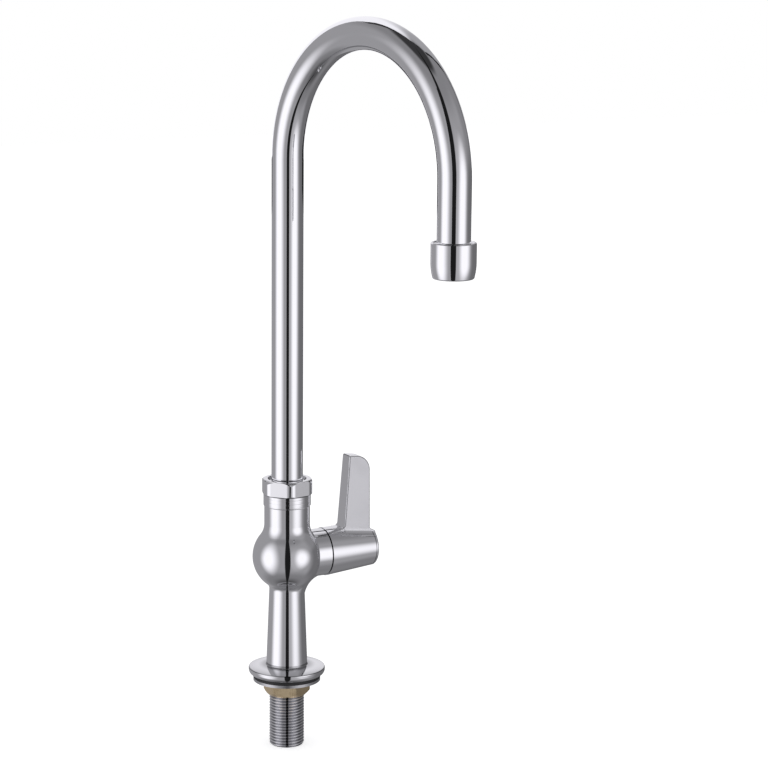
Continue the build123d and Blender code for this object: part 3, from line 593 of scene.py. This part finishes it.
def threadTree():
    kinds = {name: "NodeSocketFloat" for name in shankSizes}
    kinds.update({"Sides": "NodeSocketInt", "Rows Per Turn": "NodeSocketInt", "Turns": "NodeSocketInt"})
    tree, sizes = startTree("threadedShank", {**kinds, "Material": "NodeSocketMaterial"})
    turns = calc(tree, "ADD", sizes["Turns"], threadForm["runOut"])
    threadRows = calc(tree, "MULTIPLY", sizes["Rows Per Turn"], turns)
    rows = calc(tree, "ADD", threadRows, len(closingRows))
    mesh, turn, row = rowAndTurn(tree, sizes["Sides"], rows)
    past = calc(tree, "SUBTRACT", row, threadRows)

    def reached(name):
        return calc(tree, "GREATER_THAN", past, closingRows.index(name) - 0.5)

    # rows follow the helix and stop at the two ends, then come the shoulder, the held stretch and the bore
    climb = calc(tree, "DIVIDE", row, sizes["Rows Per Turn"])
    climb = calc(tree, "ADD", calc(tree, "SUBTRACT", climb, 1), turn)
    level = calc(tree, "MULTIPLY_ADD", climb, sizes["Pitch"], sizes["Bottom"])
    level = calc(tree, "MINIMUM", calc(tree, "MAXIMUM", level, sizes["Bottom"]), sizes["Free Top"])
    level = switchValues(tree, reached("shoulder"), level, sizes["Free Top"])
    level = switchValues(tree, reached("heldTop"), level, sizes["Top"])
    level = switchValues(tree, reached("boreBottom"), level, sizes["Bottom"])
    # thread form from how far a point lies round its own turn, cut by the chamfer at the end
    rise = calc(tree, "SUBTRACT", level, sizes["Bottom"])
    run = calc(tree, "SUBTRACT", calc(tree, "DIVIDE", rise, sizes["Pitch"]), turn)
    phase = calc(tree, "FRACT", calc(tree, "ADD", run, 4))   # 4 whole turns keep it above 0
    wedge = calc(tree, "ABSOLUTE", calc(tree, "MULTIPLY_ADD", phase, 2, -1))
    form = calc(tree, "MULTIPLY_ADD", wedge, threadForm["flankRise"], threadForm["flankStart"], clamp=True)
    root = calc(tree, "SUBTRACT", sizes["Crest Radius"], sizes["Depth"])
    thread = calc(tree, "MULTIPLY_ADD", form, sizes["Depth"], root)
    chamfer = calc(tree, "ADD", calc(tree, "SUBTRACT", sizes["Crest Radius"], sizes["End Chamfer"]), rise)
    thread = calc(tree, "MINIMUM", thread, chamfer)
    radius = switchValues(tree, reached("shoulder"), thread, sizes["Held Radius"])
    radius = switchValues(tree, reached("boreTop"), radius, sizes["Bore Radius"])
    radius = switchValues(tree, reached("firstAgain"), radius, thread)
    endTree(tree, placeRound(tree, mesh, turn, radius, level), sizes["Material"])
    return tree


def makeShank():
    sizes = {**shankSizes, "Material": finishes["threadChrome"]}
    piece = growPiece("shankThread", threadTree(), sizes)
    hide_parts("threaded_shank")
    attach(piece, "fixed_body")


makeShank()


# O-rings, round in section where the CAD's are six-sided, sizes in mm

ringSizes = {
    "spoutRings": {"node": "spout_o_rings", "body": "spout", "count": 2, "radius": 10.97, "section": 0.63,
                   "first": (0, 0, 97.6), "spacing": 4.0, "turn": (0, 0, 0)},
    "stemRings": {"node": "stem_o_rings", "body": "lever", "count": 2, "radius": 3.925, "section": 0.66,
                  "first": (14.3, 0, 76.1), "spacing": 4.5, "turn": (0, pi / 2, 0)},
    "bonnetRing": {"node": "cartridge_o_ring", "body": "fixed_body", "count": 1, "radius": 11.05,
                   "section": 0.5, "first": (23.65, 0, 76.1), "spacing": 0.0, "turn": (0, pi / 2, 0)},
}
ringSides = {"round": 96, "section": 20}


def ringTree():
    tree, sizes = startTree("oRings", {
        "Radius": "NodeSocketFloat", "Section": "NodeSocketFloat", "Count": "NodeSocketInt",
        "Spacing": "NodeSocketFloat", "First": "NodeSocketVector", "Turn": "NodeSocketVector",
        "Material": "NodeSocketMaterial",
    })
    path = addNode(tree, "GeometryNodeCurvePrimitiveCircle")
    path.inputs["Resolution"].default_value = ringSides["round"]
    feed(tree, path.inputs["Radius"], sizes["Radius"])
    section = addNode(tree, "GeometryNodeCurvePrimitiveCircle")
    section.inputs["Resolution"].default_value = ringSides["section"]
    feed(tree, section.inputs["Radius"], sizes["Section"])
    ring = addNode(tree, "GeometryNodeCurveToMesh")
    feed(tree, ring.inputs["Curve"], path.outputs["Curve"])
    feed(tree, ring.inputs["Profile Curve"], section.outputs["Curve"])
    places = addNode(tree, "GeometryNodeMeshLine")
    feed(tree, places.inputs["Count"], sizes["Count"])
    step = addNode(tree, "ShaderNodeCombineXYZ")
    feed(tree, step.inputs["Z"], sizes["Spacing"])
    feed(tree, places.inputs["Offset"], step.outputs[0])
    spread = addNode(tree, "GeometryNodeInstanceOnPoints")
    feed(tree, spread.inputs["Points"], places.outputs["Mesh"])
    feed(tree, spread.inputs["Instance"], ring.outputs["Mesh"])
    real = addNode(tree, "GeometryNodeRealizeInstances")
    feed(tree, real.inputs[0], spread.outputs["Instances"])
    move = addNode(tree, "GeometryNodeTransform")
    feed(tree, move.inputs["Geometry"], real.outputs[0])
    feed(tree, move.inputs["Translation"], sizes["First"])
    feed(tree, move.inputs["Rotation"], sizes["Turn"])
    endTree(tree, move.outputs[0], sizes["Material"])
    return tree


def makeRings():
    tree = ringTree()
    for name, ring in ringSizes.items():
        piece = growPiece(name, tree, {
            "Radius": ring["radius"] * mm, "Section": ring["section"] * mm, "Count": ring["count"],
            "Spacing": ring["spacing"] * mm, "First": tuple(mm * c for c in ring["first"]),
            "Turn": ring["turn"], "Material": finishes["mouldedRubber"],
        })
        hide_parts(ring["node"])
        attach(piece, ring["body"])


makeRings()


# Deck flange: a shallow cone down from the column, a crisp rim and a band that slants in to the gasket

flangeSizes = {
    "bore": 10.12,        # radii and levels in mm
    "footRadius": 21.2,
    "footLevel": 2.0,
    "footRound": 0.2,
    "arcs": (
        # end, how far the arc stands out of its chord, and steps
        ((23.32, 5.45), 0.7, 12),    # band
        ((23.1, 6.78), 0.14, 6),     # rim
        ((13.1, 8.2), 0.22, 24),     # cone
        ((12.5, 8.9), -0.2, 6),      # neck
    ),
    "top": 9.8,
    "sides": 256,
    "sharpAngle": 32,     # edges over this many degrees stay sharp
}


def arcBetween(start, end, bulge, steps):
    # points after start, up to end, on an arc that stands out by bulge to the right of its chord
    middle = ((start[0] + end[0]) / 2, (start[1] + end[1]) / 2)
    run = (end[0] - start[0], end[1] - start[1])
    length = (run[0] ** 2 + run[1] ** 2) ** 0.5
    radius = (length ** 2 / 4 + bulge ** 2) / (2 * abs(bulge))
    side = 1 if bulge > 0 else -1
    out = (run[1] / length * side, -run[0] / length * side)
    centre = (middle[0] - out[0] * (radius - abs(bulge)), middle[1] - out[1] * (radius - abs(bulge)))
    first = atan2(start[1] - centre[1], start[0] - centre[0])
    last = atan2(end[1] - centre[1], end[0] - centre[0])
    sweep = (last - first + pi) % (2 * pi) - pi
    angles = [first + sweep * step / steps for step in range(1, steps + 1)]
    return [(centre[0] + radius * cos(a), centre[1] + radius * sin(a)) for a in angles]


def turnPiece(name, outline, sides, sharpAngle, material):
    # a closed outline of (radius, level) in mm, turned about the Z axis
    count = len(outline)
    points = []
    faces = []
    for side in range(sides):
        angle = 2 * pi * side / sides
        points += [(r * mm * cos(angle), r * mm * sin(angle), z * mm) for r, z in outline]
        here = side * count
        there = (side + 1) % sides * count
        for k in range(count):
            after = (k + 1) % count
            faces.append((here + k, there + k, there + after, here + after))
    mesh = bpy.data.meshes.new(name)
    mesh.from_pydata(points, [], faces)
    shape = bmesh.new()
    shape.from_mesh(mesh)
    bmesh.ops.recalc_face_normals(shape, faces=shape.faces)
    shape.to_mesh(mesh)
    shape.free()
    mesh.materials.append(material)
    mesh.shade_smooth()
    mesh.set_sharp_from_angle(angle=radians(sharpAngle))
    print(name, "faces", len(mesh.polygons))
    return addObject(name, mesh)


def makeFlange():
    size = flangeSizes
    radius, level, edge = size["footRadius"], size["footLevel"], size["footRound"]
    outline = [(size["bore"], level), (radius - edge, level), (radius, level + edge)]
    for end, bulge, steps in size["arcs"]:
        outline += arcBetween(outline[-1], end, bulge, steps)
    outline += [(outline[-1][0], size["top"]), (size["bore"], size["top"])]
    piece = turnPiece("flangeShell", outline, size["sides"], size["sharpAngle"], finishes["flangeChrome"])
    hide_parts("deck_flange")
    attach(piece, "fixed_body")


makeFlange()


# Floor

floorLook = {
    "size": 7.0,
    "colour": (0.86, 0.86, 0.87, 1),
    "roughness": 0.9,
    "lift": 0.52,    # glow that only the camera and clear or polished things see, to reach white
}


def seenRays(tree):
    # 1 for rays from the camera, a mirror or glass, 0 for those that light the object
    rays = addNode(tree, "ShaderNodeLightPath")
    seen = calc(tree, "MAXIMUM", rays.outputs["Is Camera Ray"], rays.outputs["Is Glossy Ray"])
    return calc(tree, "MAXIMUM", seen, rays.outputs["Is Transmission Ray"])


def makeFloor():
    level = cadBox[0][2]
    half = floorLook["size"] / 2
    corners = [(-half, -half, level), (half, -half, level), (half, half, level), (-half, half, level)]
    mesh = bpy.data.meshes.new("studioFloor")
    mesh.from_pydata(corners, [], [(0, 1, 2, 3)])
    floor = addObject("studioFloor", mesh)
    floor.visible_glossy = False    # metal sees the studio instead
    material, tree, shader = newMaterial("paleFloor")[:3]
    shader.inputs["Base Color"].default_value = floorLook["colour"]
    shader.inputs["Roughness"].default_value = floorLook["roughness"]
    shader.inputs["Specular IOR Level"].default_value = 0.0
    glow = addNode(tree, "ShaderNodeEmission")
    feed(tree, glow.inputs["Strength"], calc(tree, "MULTIPLY", seenRays(tree), floorLook["lift"]))
    both = addNode(tree, "ShaderNodeAddShader")
    feed(tree, both.inputs[0], shader.outputs[0])
    feed(tree, both.inputs[1], glow.outputs[0])
    feed(tree, tree.nodes["Material Output"].inputs["Surface"], both.outputs[0])
    mesh.materials.append(material)


makeFloor()


# Camera, solved from the tube's outline

cameraSizes = {
    "place": (-0.70188, -1.38949, 0.48158),
    "aim": (0.47522, 0.85946, -0.18841),
    "right": (0.87590, -0.48242, 0.00863),
    "sensor": 36.0,
    "focalPixels": 2635.5,
    "imagePixels": 768,
    "clip": (0.05, 50),
}


def makeCamera():
    data = bpy.data.cameras.new("photoCamera")
    data.sensor_width = cameraSizes["sensor"]
    data.lens = cameraSizes["focalPixels"] * cameraSizes["sensor"] / cameraSizes["imagePixels"]
    data.clip_start, data.clip_end = cameraSizes["clip"]
    camera = addObject("photoCamera", data)
    aim = Vector(cameraSizes["aim"]).normalized()
    right = Vector(cameraSizes["right"])
    right = (right - aim * right.dot(aim)).normalized()
    up = right.cross(aim)
    turn = Matrix((right, up, -aim)).transposed()
    camera.matrix_world = Matrix.Translation(cameraSizes["place"]) @ turn.to_4x4()
    bpy.context.scene.camera = camera


makeCamera()


# Studio round the object, which only polished surfaces mirror. Azimuths are degrees to the right of the
# photographer as the faucet sees the room, heights degrees above the horizon.

studio = {
    "facing": -116.8,
    "centre": (0, 0, 0.2),
    "radius": 1.5,
    "segments": (64, 32),
    "plainLevel": 0.72,     # light that the world gives to everything that isn't polished
    "tint": (0.965, 0.955, 1.0, 1),
    "wall": 0.34,
    # the wall turns darker between these azimuths, most of all low down
    "shaded": {"azimuths": (75, 105), "light": 0.25, "lowLight": 0.165, "heights": (14, 0)},
    # then what is measured, where a change starts and ends, and the light past it
    "changes": (
        ("azimuth", 118, 150, 0.15),    # far wall
        ("height", 32, 56, 0.24),       # ceiling
        ("height", 64, 73, 0.04),       # zenith
        ("height", -38, -60, 0.22),     # ground
        ("height", -60, -84, 0.08),     # right under the faucet
    ),
    # soft boxes: centre, how far the light reaches left, right, down and up, and where its full part ends
    "boxes": {
        "spill": {"centre": (34, -4), "reach": (36, 46, 44, 40), "full": 0.5, "strength": 0.46},
        "left": {"centre": (-65, -9), "reach": (40, 46, 50, 60), "full": 0.26, "strength": 1.14},
        "right": {"centre": (50, -4), "reach": (31, 40, 36, 36), "full": 0.25, "strength": 1.12},
        "behind": {"centre": (179, 12), "reach": (22, 22, 40, 46), "full": 0.25, "strength": 0.8},
    },
    "gap": {"azimuth": 2.5, "half": 9.2, "soft": 2.0, "strength": 0.012},    # dark, between the boxes
}


def turnedFrom(tree, azimuth, centre):
    # degrees from a centre, wrapped to a half turn each way
    away = calc(tree, "SUBTRACT", azimuth, centre)
    return calc(tree, "WRAP", away, 180, -180)


def boxMask(tree, azimuth, height, box):
    # 1 in the full part of a soft oval box, 0 past its reach
    left, right, down, up = box["reach"]
    across = turnedFrom(tree, azimuth, box["centre"][0])
    along = calc(tree, "SUBTRACT", height, box["centre"][1])
    toRight = calc(tree, "GREATER_THAN", across, 0)
    above = calc(tree, "GREATER_THAN", along, 0)
    across = calc(tree, "DIVIDE", across, mixValues(tree, toRight, left, right))
    along = calc(tree, "DIVIDE", along, mixValues(tree, above, down, up))
    squares = calc(tree, "MULTIPLY_ADD", across, across, calc(tree, "MULTIPLY", along, along))
    return smoothStep(tree, calc(tree, "SQRT", squares), 1.0, box["full"])


def hideFromCamera(thing):
    # only mirrors see it
    thing.visible_camera = False
    thing.visible_diffuse = False
    thing.visible_transmission = False
    thing.visible_volume_scatter = False
    thing.visible_shadow = False


def glowMaterial(name):
    # a plain light in the studio's tint, with its tree, light and object coordinates
    material, tree, shader, coords = newMaterial(name)
    tree.nodes.remove(shader)
    glow = addNode(tree, "ShaderNodeEmission")
    glow.inputs["Color"].default_value = studio["tint"]
    feed(tree, tree.nodes["Material Output"].inputs["Surface"], glow.outputs[0])
    return material, tree, glow, coords


def tentAngles(tree, coords):
    # azimuth and height of a point of the tent, in degrees
    fromCentre = addNode(tree, "ShaderNodeVectorMath", operation="SUBTRACT")
    feed(tree, fromCentre.inputs[0], coords)
    fromCentre.inputs[1].default_value = studio["centre"]
    outward = addNode(tree, "ShaderNodeVectorMath", operation="NORMALIZE")
    feed(tree, outward.inputs[0], fromCentre.outputs[0])
    turn = addNode(tree, "ShaderNodeVectorRotate", rotation_type="Z_AXIS")
    feed(tree, turn.inputs["Vector"], outward.outputs[0])
    turn.inputs["Angle"].default_value = radians(-studio["facing"])
    parts = splitVector(tree, turn.outputs[0])
    azimuth = calc(tree, "MULTIPLY", calc(tree, "ARCTAN2", parts["Y"], parts["X"]), 180 / pi)
    height = calc(tree, "MULTIPLY", calc(tree, "ARCSINE", parts["Z"]), 180 / pi)
    return azimuth, height


def tentStrength(tree, azimuth, height):
    measures = {"azimuth": azimuth, "height": height}
    shaded = studio["shaded"]
    low = smoothStep(tree, height, *shaded["heights"])
    darkWall = mixValues(tree, low, shaded["light"], shaded["lowLight"])
    light = mixValues(tree, smoothStep(tree, azimuth, *shaded["azimuths"]), studio["wall"], darkWall)
    for measure, start, end, past in studio["changes"]:
        light = mixValues(tree, smoothStep(tree, measures[measure], start, end), light, past)
    for box in studio["boxes"].values():
        light = mixValues(tree, boxMask(tree, azimuth, height, box), light, box["strength"])
    gap = studio["gap"]
    away = calc(tree, "ABSOLUTE", turnedFrom(tree, azimuth, gap["azimuth"]))
    outside = smoothStep(tree, away, gap["half"] - gap["soft"], gap["half"] + gap["soft"])
    return mixValues(tree, outside, gap["strength"], light)


def makeTent():
    mesh = bpy.data.meshes.new("lightTent")
    shell = bmesh.new()
    around, upward = studio["segments"]
    bmesh.ops.create_uvsphere(shell, u_segments=around, v_segments=upward, radius=studio["radius"])
    bmesh.ops.translate(shell, verts=shell.verts, vec=studio["centre"])
    bmesh.ops.reverse_faces(shell, faces=shell.faces)
    shell.to_mesh(mesh)
    shell.free()
    tent = addObject("lightTent", mesh)
    hideFromCamera(tent)
    material, tree, glow, coords = glowMaterial("tentLight")
    feed(tree, glow.inputs["Strength"], tentStrength(tree, *tentAngles(tree, coords)))
    mesh.materials.append(material)


makeTent()


# Flat cards inside the tent, their corners in metres

cards = {
    # white sweep hung behind the arch
    "archCard": {
        "strength": 1.0,
        "corners": (
            (-0.053, 0.271, 0.295), (-0.053, 0.271, 0.637), (-0.075, 0.282, 0.751),
            (-0.037, 0.263, 0.85), (-0.013, 0.25, 1.021), (0.024, 0.231, 1.255),
            (0.15, 0.168, 1.54), (0.461, 0.011, 1.27), (0.397, 0.043, 0.667),
            (0.35, 0.067, 0.52), (0.35, 0.067, 0.295)),
    },
    # dark strip in front, near enough to widen the dark gap that the outlet mirrors
    "darkStrip": {
        "strength": 0.012,
        "corners": (
            (-0.331, -0.509, -0.3), (-0.163, -0.585, -0.3),
            (-0.163, -0.585, 1.0), (-0.331, -0.509, 1.0)),
    },
    # dark frame just behind the white sweep, showing round its edge
    "archEdge": {
        "strength": 0.03,
        "corners": (
            (-0.052, 0.274, 0.257), (-0.054, 0.276, 0.637), (-0.084, 0.291, 0.73),
            (-0.175, 0.337, 0.835), (-0.169, 0.334, 0.97), (-0.148, 0.323, 1.18),
            (-0.116, 0.307, 1.42), (0.152, 0.171, 1.63), (0.527, -0.018, 1.33),
            (0.447, 0.023, 0.67), (0.382, 0.055, 0.52), (0.382, 0.055, 0.257)),
    },
}

# the cards dim along X to the right and along Z upwards: from, to, and what is left there
cardFades = {"X": (0.12, 0.26, 0.38), "Z": (0.85, 1.5, 0.6)}


def makeCard(name, card):
    mesh = bpy.data.meshes.new(name)
    corners = card["corners"]
    mesh.from_pydata(corners, [], [tuple(range(len(corners)))])
    thing = addObject(name, mesh)
    hideFromCamera(thing)
    material, tree, glow, coords = glowMaterial(name)
    place = splitVector(tree, coords)
    light = card["strength"]
    for axis, (start, end, left) in cardFades.items():
        dimming = smoothStep(tree, place[axis], start, end)
        light = calc(tree, "MULTIPLY", light, mixValues(tree, dimming, 1.0, left))
    feed(tree, glow.inputs["Strength"], light)
    mesh.materials.append(material)


for cardName, card in cards.items():
    makeCard(cardName, card)


def makeWorld():
    world = bpy.data.worlds.new("whiteRoom")
    bpy.context.scene.world = world
    world.use_nodes = True
    tree = world.node_tree
    background = tree.nodes["Background"]
    background.inputs["Color"].default_value = (1, 1, 1, 1)
    feed(tree, background.inputs["Strength"], mixValues(tree, seenRays(tree), studio["plainLevel"], 1.0))


makeWorld()
print("studio and camera made")

bpy.context.scene.view_settings.view_transform = "Standard"
